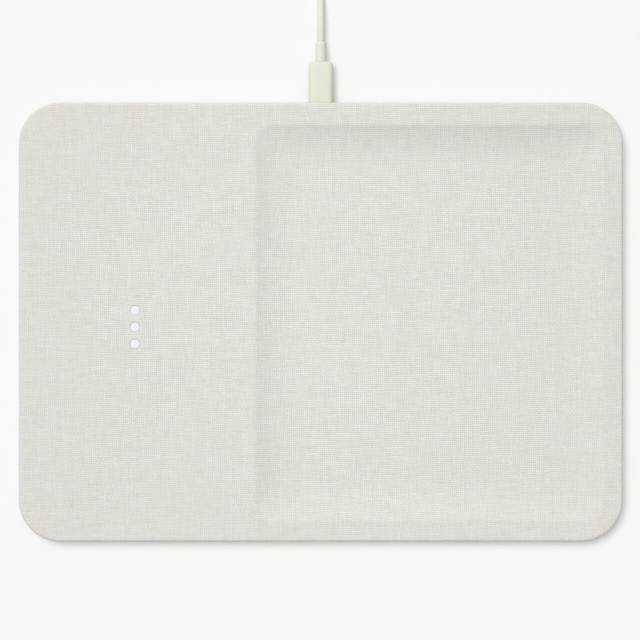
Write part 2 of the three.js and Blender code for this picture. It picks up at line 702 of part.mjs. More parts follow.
// The outer shape of the wound turns, standing on z = 0.
function cordCoil() {
  const inner = COIL_TURN_RADIUS - COIL_BUNDLE / 2;
  const outer = COIL_TURN_RADIUS + COIL_BUNDLE / 2;
  const ease = BUNDLE_EASE;
  const profile = [
    [inner + ease, 0],
    [outer - ease, 0],
    [outer, ease],
    [outer, COIL_BUNDLE - ease],
    [outer - ease, COIL_BUNDLE],
    [inner + ease, COIL_BUNDLE],
    [inner, COIL_BUNDLE - ease],
    [inner, ease],
    [inner + ease, 0],
  ];
  return turned(profile, COIL_SIDES);
}

// A band round the coil's section, where the coil runs front to rear.
function cordTie() {
  const height = COIL_BUNDLE + 2 * FIT;
  const width = height + 2 * TIE_SLACK;
  const outerCorner = TIE_CORNER + TIE_THICKNESS;
  const outline = roundedRectangle(width + 2 * TIE_THICKNESS, height + 2 * TIE_THICKNESS, outerCorner);
  outline.holes.push(roundedRectangle(width, height, TIE_CORNER));
  return prism(outline, -TIE_WIDTH / 2, TIE_WIDTH / 2).rotateX(Math.PI / 2);
}

// ---- Assembly ----
function addFastenings(pad) {
  const headBottom = HEAD_SEAT - SCREW_HEAD_HEIGHT - CONTACT_GAP;
  const length = HOUSING_SCREW_TOP - headBottom;
  const housingScrew = screw(SCREW_HEAD_RADIUS, SCREW_HEAD_HEIGHT, SCREW_RADIUS, length);
  FOOT_PLACES.forEach(([x, y], i) => {
    addPart(pad, `foot_${i + 1}`, foot(), FOOT_SILICONE, x, y);
    addPart(pad, `housing_screw_${i + 1}`, housingScrew, STEEL, x, y, headBottom);
  });
  const smallScrew = screw(SMALL_HEAD_RADIUS, SMALL_HEAD_HEIGHT, SMALL_SCREW_RADIUS, SMALL_SCREW_LENGTH);
  const below = SMALL_HEAD_HEIGHT + CONTACT_GAP;
  CARRIER_SCREWS.forEach(([x, y], i) => {
    addPart(pad, `carrier_screw_${i + 1}`, smallScrew, STEEL, x, y, CARRIER_BOTTOM - below);
  });
  BOARD_SCREWS.forEach(([x, y], i) => {
    addPart(pad, `board_screw_${i + 1}`, smallScrew, STEEL, x, y, BOARD_BOTTOM - below);
  });
}

// The middle coil lies over the other two.
function addCoils(pad) {
  addPart(pad, "coil_carrier", coilCarrier(), CARRIER_PLASTIC);
  addPart(pad, "ferrite_sheet", ferriteSheet(), FERRITE);
  const bottom = CARRIER_TOP + FERRITE_THICKNESS + 2 * CONTACT_GAP;
  const over = bottom + COIL_THICKNESS + CONTACT_GAP;
  ["front", "middle", "rear"].forEach((place, i) => {
    const height = place === "middle" ? over : bottom;
    addPart(pad, `charging_coil_${place}`, chargingCoil(), COPPER, CHARGE_X, coilCentres()[i], height);
    addPart(pad, `coil_lead_${place}`, coilLead(i), COPPER);
  });
  const { width, depth, height } = THERMISTOR;
  const bead = block([-width / 2, -depth / 2, -height], [width / 2, depth / 2, 0]);
  addPart(pad, "coil_thermistor", bead, CHIP_RESIN, CHARGE_X, CHARGE_Y, CEILING - CONTACT_GAP);
}

function buildPad() {
  const pad = new THREE.Group();
  addPart(pad, "fabric_cover", fabricCover(), LINEN);
  dotPlaces().forEach(([x, y], i) => addPart(pad, `marker_dot_${i + 1}`, markerDot(), DOT_SILICONE, x, y));
  addPart(pad, "top_shell", topShell(), SHELL_PLASTIC);
  addPart(pad, "base_plate", basePlate(), BASE_PLASTIC);
  addFastenings(pad);
  addCoils(pad);
  addPart(pad, "main_board", mainBoard(), BOARD_LAMINATE);
  addBoardParts(pad);
  addPart(pad, "usb_socket_shell", socketShell(), STEEL, 0, 0, PORT_Z);
  addPart(pad, "usb_socket_tongue", socketTongue(), CHIP_RESIN, 0, 0, PORT_Z);
  return pad;
}

function buildCable() {
  const cable = new THREE.Group();
  const plug = new THREE.Group();
  addPlug(plug, "");
  plug.position.set(0, GRIP_FRONT, PORT_Z);
  cable.add(plug);

  const coilBottom = TIE_THICKNESS + FIT;
  const tieX = COIL_X + COIL_TURN_RADIUS;
  addPart(cable, "cord_run", cordStretch([[0, PLUG_END + CORD_GAP, PORT_Z], ...CORD_RUN]), CORD_PLASTIC);
  addPart(cable, "cord_coil", cordCoil(), CORD_PLASTIC, COIL_X, COIL_Y, coilBottom);
  addPart(cable, "cord_tie", cordTie(), TIE_FABRIC, tieX, COIL_Y, coilBottom + COIL_BUNDLE / 2);
  addPart(cable, "cord_tail", cordStretch(CORD_TAIL), CORD_PLASTIC);

  // The far plug lies flat on the table, its relief against the end of the cord's tail.
  const farPlug = new THREE.Group();
  addPlug(farPlug, "far_");
  const reach = PLUG_LENGTH + CONTACT_GAP + RELIEF_LENGTH + CORD_GAP;
  const towardsTip = new THREE.Vector3(Math.sin(FAR_PLUG_TURN), -Math.cos(FAR_PLUG_TURN), 0);
  farPlug.rotation.z = FAR_PLUG_TURN;
  farPlug.position.set(...CORD_TAIL.at(-1)).addScaledVector(towardsTip, reach);
  farPlug.position.z = PLUG_THICKNESS / 2;
  cable.add(farPlug);
  return cable;
}

const chargingPad = new THREE.Group();
chargingPad.add(buildPad(), buildCable());

export default chargingPad;
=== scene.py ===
"""A linen-covered wireless charging pad with a scooped tray, on its plugged-in cable.

The CAD frame gives the places and sizes. Lengths are in metres, and MM turns millimetres into them.
"""
import json
import math

import bmesh
import bpy
from mathutils import Matrix, Vector


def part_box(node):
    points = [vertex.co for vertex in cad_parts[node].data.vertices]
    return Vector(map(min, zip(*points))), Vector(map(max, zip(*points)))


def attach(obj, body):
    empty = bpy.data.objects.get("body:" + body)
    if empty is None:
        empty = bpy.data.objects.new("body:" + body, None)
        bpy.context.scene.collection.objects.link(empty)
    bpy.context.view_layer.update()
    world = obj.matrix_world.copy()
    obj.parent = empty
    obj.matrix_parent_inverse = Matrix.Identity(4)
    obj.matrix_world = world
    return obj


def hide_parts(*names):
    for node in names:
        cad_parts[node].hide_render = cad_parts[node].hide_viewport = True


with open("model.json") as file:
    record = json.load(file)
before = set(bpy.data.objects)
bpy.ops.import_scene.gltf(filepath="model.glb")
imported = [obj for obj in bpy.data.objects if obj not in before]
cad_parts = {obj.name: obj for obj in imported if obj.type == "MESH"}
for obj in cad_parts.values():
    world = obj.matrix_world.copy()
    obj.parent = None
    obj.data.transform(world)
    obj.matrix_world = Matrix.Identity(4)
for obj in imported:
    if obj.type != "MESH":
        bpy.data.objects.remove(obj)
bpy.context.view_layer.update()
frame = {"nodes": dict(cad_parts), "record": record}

MM = 0.001
NEAR = 0.01 * MM  # nearer than this counts as lying in the same plane

# ---- Places and sizes from the frame ----
COVER_LOW, COVER_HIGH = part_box("fabric_cover")
GRIP_LOW, GRIP_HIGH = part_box("plug_grip")
PORT_Z = (GRIP_LOW.z + GRIP_HIGH.z) / 2

# ---- The cover's form, as in the CAD source ----
CORNER_RADIUS = 18 * MM
EDGE_FILLET = 1.2 * MM
TRAY_CENTRE = (46.6 * MM, -0.1 * MM)
TRAY_HALF = (75.5 * MM, 85.9 * MM)
RIM_CORNER = 7 * MM
FLOOR_CORNER = 12 * MM
RIM_SLOPE = math.radians(20)
LIP_RADIUS = 5 * MM
SCOOP_RADIUS = 50 * MM
SCOOP_WIDTH = (LIP_RADIUS + SCOOP_RADIUS) * math.sin(RIM_SLOPE)
TRAY_DEPTH = (LIP_RADIUS + SCOOP_RADIUS) * (1 - math.cos(RIM_SLOPE))

# ---- The cable, as in the CAD source ----
CORD_DIAMETER = 3 * MM
RELIEF_RADIUS = 2.3 * MM
RELIEF_LENGTH = 8.8 * MM
CONTACT_GAP = 0.1 * MM
COIL_CENTRE = (22.5 * MM, 170.5 * MM)
COIL_BOTTOM = 0.7 * MM
COIL_TURN_RADIUS = 18 * MM
TURN_PITCH = 3.1 * MM
TURNS_ACROSS = 4
TURNS = 15.25
# The cord's free stretches are in millimetres.
CORD_RUN = [
    (0, 126, 7),
    (0, 131, 6.3),
    (0, 137, 4.7),
    (0, 143, 2.9),
    (0, 149, 1.9),
    (0, 154, 1.65),
]
CORD_TAIL = [
    (35.6, 193, 11.2),
    (42, 193, 10.5),
    (49, 192.8, 8.2),
    (56, 192.3, 5.4),
    (62, 191.5, 3.7),
    (68, 190.3, 3.2),
]
FAR_PLUG_TURN = math.radians(78)


# ---------------------------------------------------------------- node trees
class Tree:
    """Short calls for building one material's nodes."""

    def __init__(self, name):
        self.material = bpy.data.materials.new(name)
        self.material.use_nodes = True
        self.nodes = self.material.node_tree.nodes
        self.links = self.material.node_tree.links
        self.shader = self.nodes["Principled BSDF"]

    def join(self, value, socket):
        if isinstance(value, bpy.types.NodeSocket):
            self.links.new(value, socket)
        else:
            socket.default_value = value

    def math(self, operation, *values):
        node = self.nodes.new("ShaderNodeMath")
        node.operation = operation
        for value, socket in zip(values, node.inputs):
            self.join(value, socket)
        return node.outputs[0]

    def vector(self, x, y, z=0.0):
        node = self.nodes.new("ShaderNodeCombineXYZ")
        for value, socket in zip((x, y, z), node.inputs):
            self.join(value, socket)
        return node.outputs[0]

    def split(self, vector):
        node = self.nodes.new("ShaderNodeSeparateXYZ")
        self.join(vector, node.inputs[0])
        return node.outputs

    def attribute(self, name):
        node = self.nodes.new("ShaderNodeAttribute")
        node.attribute_name = name
        return node.outputs["Vector"]

    def object_coordinates(self):
        return self.nodes.new("ShaderNodeTexCoord").outputs["Object"]

    def noise(self, vector, scale, detail=2.0, roughness=0.5):
        node = self.nodes.new("ShaderNodeTexNoise")
        self.join(vector, node.inputs["Vector"])
        node.inputs["Scale"].default_value = scale
        node.inputs["Detail"].default_value = detail
        node.inputs["Roughness"].default_value = roughness
        return node.outputs["Fac"]

    def spread(self, value, low, high):
        """Maps 0 to 1 onto low to high."""
        node = self.nodes.new("ShaderNodeMapRange")
        self.join(value, node.inputs["Value"])
        node.inputs["To Min"].default_value = low
        node.inputs["To Max"].default_value = high
        return node.outputs["Result"]

    def mix(self, share, first, second):
        node = self.nodes.new("ShaderNodeMix")
        node.data_type = "RGBA"
        self.join(share, node.inputs["Factor"])
        self.join(first, node.inputs["A"])
        self.join(second, node.inputs["B"])
        return node.outputs["Result"]

    def scale_colour(self, colour, factor):
        node = self.nodes.new("ShaderNodeVectorMath")
        node.operation = "SCALE"
        self.join(colour, node.inputs[0])
        self.join(factor, node.inputs["Scale"])
        return node.outputs[0]

    def bump(self, height, distance, strength=1.0, normal=None):
        node = self.nodes.new("ShaderNodeBump")
        node.inputs["Distance"].default_value = distance
        node.inputs["Strength"].default_value = strength
        self.join(height, node.inputs["Height"])
        if normal is not None:
            self.join(normal, node.inputs["Normal"])
        return node.outputs["Normal"]

    def finish(self, **values):
        """Sets the shader's sockets: underscores in a name stand for spaces."""
        for name, value in values.items():
            self.join(value, self.shader.inputs[name.replace("_", " ")])
        return self.material


# ---------------------------------------------------------------- materials
# The cloth's places and pitches are in millimetres, as in its weave attribute.
WARP_PITCH = 0.86  # threads that run front to rear
WEFT_PITCH = 0.9  # threads that run left to right
WANDER = 1.1  # how far a thread strays sideways over its length
JITTER = 0.28  # and from one crossing to the next
UNEVEN = 0.25  # share by which threads differ in thickness
LINEN_LIGHT = (0.87, 0.85, 0.81, 1)
LINEN_DARK = (0.67, 0.64, 0.595, 1)
# Painted light: the cloth's colour is lighter round one place and darker further out, standing in for light
# falloff.
PAINTED_LIGHT_MIDDLE = (-10.0, 25.0, 0.0)  # middle of a painted pool of light: the cloth's colour is palest here
PAINTED_LIGHT_REACH = 140.0  # from there to where the painted falloff makes the cloth darker by twice the drop below
# share by which the painted light falloff lightens and darkens the cloth's colour
PAINTED_LIGHT_DROP = 0.025


def linen():
    """A plain weave of uneven flax threads. The weave attribute holds cloth coordinates in millimetres."""
    tree = Tree("linen")
    weave = tree.attribute("weave")
    u, v, _ = tree.split(weave)

    # The threads wander slowly, and a little more quickly from crossing to crossing.
    drift = tree.spread(tree.noise(weave, 0.03), -WANDER, WANDER)
    sway = tree.spread(tree.noise(tree.vector(v, u, 40.0), 0.04), -WANDER, WANDER)
    jitter = tree.spread(tree.noise(weave, 0.35, 1.0), -JITTER, JITTER)
    across = tree.math("DIVIDE", tree.math("ADD", tree.math("ADD", u, drift), jitter), WARP_PITCH)
    up = tree.math("DIVIDE", tree.math("ADD", tree.math("ADD", v, sway), jitter), WEFT_PITCH)

    warp = tree.math("FLOOR", across)
    weft = tree.math("FLOOR", up)
    warp_crest = tree.math("SINE", tree.math("MULTIPLY", tree.math("FRACT", across), math.pi))
    weft_crest = tree.math("SINE", tree.math("MULTIPLY", tree.math("FRACT", up), math.pi))
    over = tree.math("FLOORED_MODULO", tree.math("ADD", warp, weft), 2.0)

    # Each thread has its own tone and thickness, which change along it.
    def uneven(along, index, offset):
        place = tree.vector(tree.math("MULTIPLY", along, 0.1), tree.math("MULTIPLY", index, 1.7), offset)
        return tree.noise(place, 1.0, 3.0, 0.7)

    warp_tone = uneven(up, warp, 11.0)
    weft_tone = uneven(across, weft, 3.0)
    warp_body = tree.math("MULTIPLY_ADD", weft_crest, 0.5, 0.5)
    weft_body = tree.math("MULTIPLY_ADD", warp_crest, 0.35, 0.65)
    warp_height = tree.math("MULTIPLY", tree.math("POWER", warp_crest, 0.7), warp_body)
    weft_height = tree.math("MULTIPLY", tree.math("POWER", weft_crest, 0.7), weft_body)
    warp_height = tree.math("MULTIPLY", warp_height, tree.spread(warp_tone, 1 - UNEVEN, 1 + UNEVEN))
    weft_height = tree.math("MULTIPLY", weft_height, tree.spread(weft_tone, 1 - UNEVEN, 1 + UNEVEN))

    def pick(if_weft, if_warp):
        part = tree.math("MULTIPLY", over, tree.math("SUBTRACT", if_warp, if_weft))
        return tree.math("ADD", if_weft, part)

    height = pick(weft_height, warp_height)
    tone = pick(weft_tone, warp_tone)

    fibre = tree.noise(tree.vector(tree.math("MULTIPLY", u, 3.0), tree.math("MULTIPLY", v, 3.0)), 2.2, 2.0)
    broad = tree.noise(weave, 0.016, 3.0, 0.6)

    from_light_middle = tree.nodes.new("ShaderNodeVectorMath")
    from_light_middle.operation = "DISTANCE"
    tree.join(weave, from_light_middle.inputs[0])
    tree.join(PAINTED_LIGHT_MIDDLE, from_light_middle.inputs[1])
    painted_falloff = tree.math("POWER", tree.math("DIVIDE", from_light_middle.outputs["Value"], PAINTED_LIGHT_REACH), 2.0)

    cloth = tree.mix(tree.spread(tone, -0.1, 1.1), LINEN_DARK, LINEN_LIGHT)
    # Painted shade: the colour is darker where threads dip between crossings and lighter on their crests; the
    # fibre and broad noises below are the cloth's own tone.
    painted_shading_and_tone = tree.spread(height, 0.815, 1.085)
    painted_shading_and_tone = tree.math("MULTIPLY", painted_shading_and_tone, tree.spread(fibre, 0.97, 1.03))
    painted_shading_and_tone = tree.math("MULTIPLY", painted_shading_and_tone, tree.spread(broad, 0.99, 1.01))
    # Painted light falloff: the colour is lighter near the middle and darker further out.
    painted_shading_and_tone = tree.math("MULTIPLY", painted_shading_and_tone, tree.spread(painted_falloff, 1 + PAINTED_LIGHT_DROP, 1 - PAINTED_LIGHT_DROP))
    colour = tree.scale_colour(cloth, painted_shading_and_tone)

    relief = tree.math("ADD", height, tree.math("MULTIPLY", fibre, 0.25))
    normal = tree.bump(relief, 0.2 * MM, 0.6)
    roughness = tree.spread(height, 0.96, 0.86)
    return tree.finish(
        Base_Color=colour,
        Roughness=roughness,
        Normal=normal,
        Sheen_Weight=0.12,
        Sheen_Roughness=0.45,
        Specular_IOR_Level=0.25,
    )


MILKY_DEPTH = 0.8 * MM  # how far light strays inside milky plastic
ROUGHNESS_SPREAD = 0.06


def moulded(name, colour, roughness, grain=0.5 * MM, depth=0.01 * MM, mottle=0.03, milky=0.0):
    """Moulded plastic or rubber: a fine eroded grain and a faint, cloudy change of tone."""
    tree = Tree(name)
    place = tree.object_coordinates()
    grain_noise = tree.noise(place, 1 / grain, 3.0, 0.6)
    cloud = tree.noise(place, 60.0, 3.0, 0.55)
    tinted = tree.scale_colour(colour, tree.spread(cloud, 1 - mottle, 1 + mottle))
    return tree.finish(
        Base_Color=tinted,
        Roughness=tree.spread(grain_noise, roughness - ROUGHNESS_SPREAD, roughness + ROUGHNESS_SPREAD),
        Normal=tree.bump(grain_noise, depth, 0.6),
        Subsurface_Weight=milky,
        Subsurface_Radius=(1, 1, 1),
        Subsurface_Scale=MILKY_DEPTH,
    )


METAL_LINES = 9000.0  # scale of the lines' noise
METAL_ROUGHNESS_SPREAD = 0.07


def metal(name, colour, roughness, stretch):
    """Drawn or plated metal with fine lines along the direction that stretch shortens."""
    tree = Tree(name)
    x, y, z = tree.split(tree.object_coordinates())
    parts = [tree.math("MULTIPLY", axis, factor) for axis, factor in zip((x, y, z), stretch)]
    lines = tree.noise(tree.vector(*parts), METAL_LINES, 2.0, 0.7)
    return tree.finish(
        Base_Color=tree.scale_colour(colour, tree.spread(lines, 0.94, 1.04)),
        Metallic=1.0,
        Roughness=tree.spread(lines, roughness - METAL_ROUGHNESS_SPREAD, roughness + METAL_ROUGHNESS_SPREAD),
        Normal=tree.bump(lines, 0.004 * MM, 0.4),
    )


WIRE_RIDGES = 9000.0  # radians of the ridges' wave in each metre


def wound_copper(name):
    """Enamelled wire: fine ridges round each coil's middle line, with painted shade in the grooves between
    them.
    """
    tree = Tree(name)
    x, y, _ = tree.split(tree.object_coordinates())
    reach = tree.math("ADD", tree.math("ABSOLUTE", x), tree.math("ABSOLUTE", y))
    ridges = tree.math("SINE", tree.math("MULTIPLY", reach, WIRE_RIDGES))
    # Painted shade: the copper's colour is darker in the grooves between turns and lighter on their crests.
    tone = tree.spread(ridges, 0.85, 1.1)
    return tree.finish(
        Base_Color=tree.scale_colour((0.55, 0.17, 0.06), tone),
        Metallic=1.0,
        Roughness=0.35,
        Normal=tree.bump(ridges, 0.02 * MM, 0.5),
    )


def tie_cloth(name):
    """The woven loops of a hook-and-loop tie."""
    tree = Tree(name)
    place = tree.object_coordinates()
    loops = tree.nodes.new("ShaderNodeTexVoronoi")
    tree.join(place, loops.inputs["Vector"])
    loops.inputs["Scale"].default_value = 3200
    fuzz = tree.noise(place, 2500.0, 2.0)
    height = tree.math("ADD", loops.outputs["Distance"], tree.math("MULTIPLY", fuzz, 0.5))
    return tree.finish(
        Base_Color=tree.mix(fuzz, (0.60, 0.58, 0.52, 1), (0.74, 0.72, 0.65, 1)),
        Roughness=0.92,
        Sheen_Weight=0.3,
        Normal=tree.bump(height, 0.15 * MM, 0.7),
    )


def make_materials():
    """One material for each of the record's slots."""
    return {
        "linen": linen(),
        "dot_silicone": moulded("dot_silicone", (0.82, 0.805, 0.835), 0.6, 0.3 * MM, 0.004 * MM, 0.01),
        "shell_plastic": moulded("shell_plastic", (0.66, 0.64, 0.59), 0.55),
        "base_plastic": moulded("base_plastic", (0.60, 0.58, 0.54), 0.55),
        "foot_silicone": moulded("foot_silicone", (0.42, 0.41, 0.38), 0.7),
        "carrier_plastic": moulded("carrier_plastic", (0.024, 0.025, 0.027), 0.5),
        "ferrite": moulded("ferrite", (0.034, 0.036, 0.042), 0.45, 0.2 * MM),
        "copper": wound_copper("copper"),
        "board_laminate": moulded("board_laminate", (0.014, 0.09, 0.04), 0.35, 0.8 * MM, 0.02 * MM, 0.15),
        "chip_resin": moulded("chip_resin", (0.012, 0.012, 0.013), 0.45, 0.1 * MM),
        "capacitor_film": moulded("capacitor_film", (0.39, 0.26, 0.084), 0.3),
        "natural_nylon": moulded("natural_nylon", (0.81, 0.79, 0.70), 0.4),
        "steel": metal("steel", (0.66, 0.66, 0.65), 0.28, (1, 0.03, 1)),
        "cord_plastic": moulded("cord_plastic", (0.76, 0.755, 0.66), 0.72, 0.25 * MM, 0.006 * MM, 0.015, 0.5),
        "tie_fabric": tie_cloth("tie_fabric"),
    }


# ---------------------------------------------------------------- mesh helpers
def new_piece(name, bm, slot, body, smooth=True):
    """Turns a bmesh into an object that rides on a body."""
    for face in bm.faces:
        face.smooth = smooth
    mesh = bpy.data.meshes.new(name)
    bm.to_mesh(mesh)
    bm.free()
    piece = bpy.data.objects.new(name, mesh)
    bpy.context.scene.collection.objects.link(piece)
    mesh.materials.append(MATERIALS[slot])
    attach(piece, body)
    return piece


def skin(bm, rings, closed=True):
    """Quads between rings of vertices that have equal counts."""
    for lower, upper in zip(rings, rings[1:]):
        count = len(lower)
        for i in range(count if closed else count - 1):
            j = (i + 1) % count
            bm.faces.new((lower[i], lower[j], upper[j], upper[i]))


def turned(profile, segments, place):
    """A bmesh of a profile of (radius, height) points turned about Z, listed from the bottom up."""
    bm = bmesh.new()
    rings = []
    for radius, height in profile:
        angles = [2 * math.pi * i / segments for i in range(segments)]
        rings.append([bm.verts.new((radius * math.cos(a), radius * math.sin(a), height)) for a in angles])
    skin(bm, rings)
    bm.faces.new(list(reversed(rings[0])))
    bm.faces.new(rings[-1])
    bm.transform(place)
    return bm


def quarter(steps):
    """Angles from 0 to a right angle."""
    return [math.pi / 2 * i / steps for i in range(steps + 1)]


def arc(centre, radius, start, end, steps):
    """Points of an arc in a profile's plane, its angles in degrees from the first axis."""
    points = []
    for i in range(steps + 1):
        angle = math.radians(start + (end - start) * i / steps)
        points.append((centre[0] + radius * math.cos(angle), centre[1] + radius * math.sin(angle)))
    return points


def section(half_width, half_height, radius, steps=8):
    """A rounded rectangle in X and Z, as a list of points."""
    points = []
    for side_x, side_z, start in ((1, 1, 0), (-1, 1, 90), (-1, -1, 180), (1, -1, 270)):
        corner = (side_x * (half_width - radius), side_z * (half_height - radius))
        points += arc(corner, radius, start, start + 90, steps)
    return points


# ---------------------------------------------------------------- linen cover
CORNER_STEPS = 16
LONG_STEPS = 92  # quads along a side that runs left to right
SHORT_STEPS = 68
FLAT_STEPS = 34  # from the edge to the tray's rim
FLOOR_STEPS = 12  # from the scoop to the grid in the middle of the tray's floor
FLOOR_MARGIN = 30 * MM  # width of those
HEM = 0.5 * MM  # radius of the fold at the cover's lower edge
TUCK = 2.5 * MM  # how far the cloth goes on under the pad
CLOTH_THICKNESS = 0.4 * MM
PRESSED = 0.2  # share of it that is left where the cloth rolls down round the dots
# (radius, depth) of the dimple round each dot, in millimetres
DIMPLE = [(3.0, 0), (2.6, 0.006), (2.35, 0.02), (2.22, 0.05), (2.14, 0.12), (2.1, 0.3), (2.08, 0.8)]
DIMPLE_SIDES = 40
DOT_MARGIN = 7 * MM  # of finer cloth round the dots
PORT_HALF_WIDTH = 5.65 * MM
PORT_HALF_HEIGHT = 3.5 * MM
PORT_CORNER = 1.5 * MM
PORT_MARGIN = 2.4 * MM  # of refilled wall on each side of the opening
PORT_TURN_IN = 0.85 * MM
DIMPLE_MARGIN = 0.5 * MM  # past a dimple's rim, of cloth that is pressed too


def outline(centre, half, radius):
    """Points round a rounded rectangle, anticlockwise, each with its outward direction."""
    points = []
    inner = (half[0] - radius, half[1] - radius)
    for corner_index in range(4):
        turn = corner_index * math.pi / 2
        out = Vector((math.cos(turn), math.sin(turn)))
        along = Vector((-out.y, out.x))
        facing_x = corner_index % 2 == 0
        steps = SHORT_STEPS if facing_x else LONG_STEPS
        side = inner[1] if facing_x else inner[0]
        reach = half[0] if facing_x else half[1]
        for i in range(steps):
            points.append((Vector(centre) + out * reach + along * side * (2 * i / steps - 1), out))
        corner = Vector(centre) + out * (inner[0] if facing_x else inner[1]) + along * side
        for i in range(CORNER_STEPS):
            angle = turn + math.pi / 2 * i / CORNER_STEPS
            ray = Vector((math.cos(angle), math.sin(angle)))
            points.append((corner + ray * radius, ray))
    return points


def cover_outline(inset):
    half = (COVER_HIGH.x - inset, COVER_HIGH.y - inset)
    return outline((0, 0), half, CORNER_RADIUS - inset)


def tray_outline(inset):
    half = (TRAY_HALF[0] - inset, TRAY_HALF[1] - inset)
    share = min(1, inset / SCOOP_WIDTH)
    return outline(TRAY_CENTRE, half, RIM_CORNER + (FLOOR_CORNER - RIM_CORNER) * share)


def between(share):
    """Outline part of the way across the flat top, from the edge's fillet to the tray's rim."""
    start = (COVER_HIGH.x - EDGE_FILLET, COVER_HIGH.y - EDGE_FILLET)
    half = [a + (b - a) * share for a, b in zip(start, TRAY_HALF)]
    centre = [c * share for c in TRAY_CENTRE]
    radius = CORNER_RADIUS - EDGE_FILLET
    return outline(centre, half, radius + (RIM_CORNER - radius) * share)


def edge_rings():
    """(inset, height, cloth length past the flat top) from the tucked lip up to the flat top."""
    bottom, top = COVER_LOW.z, COVER_HIGH.z
    wall = top - EDGE_FILLET - bottom - HEM
    over_edge = EDGE_FILLET * math.pi / 2
    to_hem = over_edge + wall
    under = to_hem + HEM * math.pi / 2
    rings = [(HEM + TUCK * share, bottom, under + TUCK * share) for share in (1, 2 / 3, 1 / 3)]
    for angle in quarter(4):
        rings.append((HEM * (1 - math.sin(angle)), bottom + HEM * (1 - math.cos(angle)), under - HEM * angle))
    wall_steps = 9
    for i in range(1, wall_steps):
        share = i / wall_steps
        rings.append((0, bottom + HEM + wall * share, to_hem - wall * share))
    for angle in quarter(8)[:-1]:
        inset = EDGE_FILLET * (1 - math.cos(angle))
        height = top - EDGE_FILLET * (1 - math.sin(angle))
        rings.append((inset, height, over_edge - EDGE_FILLET * angle))
    return rings


def tray_rings():
    """(inset from the rim, depth below the top) from the rim down to the flat floor."""
    lip_steps = 7
    scoop_steps = 26
    rings = []
    for i in range(1, lip_steps + 1):
        slope = RIM_SLOPE * i / lip_steps
        rings.append((LIP_RADIUS * math.sin(slope), LIP_RADIUS * (1 - math.cos(slope))))
    for i in range(scoop_steps - 1, -1, -1):
        slope = RIM_SLOPE * i / scoop_steps
        inset = SCOOP_WIDTH - SCOOP_RADIUS * math.sin(slope)
        rings.append((inset, TRAY_DEPTH - SCOOP_RADIUS * (1 - math.cos(slope))))
    return rings


def cover_mesh():
    """The cover's outside as one sheet of quads, with cloth coordinates on its vertices."""
    bm = bmesh.new()
    weave = bm.verts.layers.float_vector.new("weave")

    def add_ring(points, height, cloth=None):
        ring = []
        for i, (point, _) in enumerate(points):
            vertex = bm.verts.new((point.x, point.y, height))
            flat = cloth[i] if cloth else point
            vertex[weave] = (flat.x / MM, flat.y / MM, 0)
            ring.append(vertex)
        return ring

    top = COVER_HIGH.z
    fold = cover_outline(EDGE_FILLET)
    rings = []
    for inset, height, length in edge_rings():
        cloth = [point + out * length for point, out in fold]
        rings.append(add_ring(cover_outline(inset), height, cloth))
    rings += [add_ring(between(i / FLAT_STEPS), top) for i in range(FLAT_STEPS + 1)]
    rings += [add_ring(tray_outline(inset), top - depth) for inset, depth in tray_rings()]

    floor_half = [side - SCOOP_WIDTH for side in TRAY_HALF]
    for i in range(1, FLOOR_STEPS + 1):
        share = i / FLOOR_STEPS
        half = [side - FLOOR_MARGIN * share for side in floor_half]
        radius = FLOOR_CORNER * (1 - share)
        rings.append(add_ring(outline(TRAY_CENTRE, half, radius), top - TRAY_DEPTH))
    skin(bm, rings)
    fill_floor(bm, weave, rings[-1])
    bmesh.ops.remove_doubles(bm, verts=bm.verts, dist=0.002 * MM)
    return bm, weave


def fill_floor(bm, weave, ring):
    """A grid of quads inside the last ring, whose corners have no radius."""
    side = CORNER_STEPS + SHORT_STEPS
    right = ring[:SHORT_STEPS + 1]
    back = ring[side:side + LONG_STEPS + 1]
    xs = [vertex.co.x for vertex in reversed(back)]
    ys = [vertex.co.y for vertex in right]
    height = ring[0].co.z
    rows = []
    for y in ys:
        row = [bm.verts.new((x, y, height)) for x in xs]
        for vertex in row:
            vertex[weave] = (vertex.co.x / MM, vertex.co.y / MM, 0)
        rows.append(row)
    skin(bm, rows, closed=False)


def cut_port(bm, weave):
    """Opens the rear wall where the plug goes in, and turns the cloth in round the opening."""
    rear = COVER_HIGH.y
    wall = [
        face
        for face in bm.faces
        if all(abs(vertex.co.y - rear) < NEAR for vertex in face.verts)
        and abs(face.calc_center_median().x) < PORT_HALF_WIDTH + PORT_MARGIN
    ]
    bmesh.ops.delete(bm, geom=wall, context="FACES")
    patch_edge = [
        edge
        for edge in bm.edges
        if edge.is_boundary and all(abs(vertex.co.y - rear) < NEAR for vertex in edge.verts)
    ]
    wall_top = COVER_HIGH.z - EDGE_FILLET
    hole = []
    for x, height in section(PORT_HALF_WIDTH, PORT_HALF_HEIGHT, PORT_CORNER, 6):
        z = PORT_Z + height
        vertex = bm.verts.new((x, rear, z))
        length = EDGE_FILLET * math.pi / 2 + wall_top - z
        vertex[weave] = (x / MM, (rear - EDGE_FILLET + length) / MM, 0)
        hole.append(vertex)
    hole_edges = [bm.edges.new((a, b)) for a, b in zip(hole, hole[1:] + hole[:1])]
    bmesh.ops.triangle_fill(bm, use_beauty=True, use_dissolve=False, edges=patch_edge + hole_edges)
    inner = []
    for vertex in hole:
        deeper = bm.verts.new(vertex.co - Vector((0, PORT_TURN_IN, 0)))
        deeper[weave] = vertex[weave]
        inner.append(deeper)
    skin(bm, [hole, inner])


def dot_places():
    boxes = [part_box(f"marker_dot_{i}") for i in (1, 2, 3)]
    return [((low.x + high.x) / 2, (low.y + high.y) / 2) for low, high in boxes]


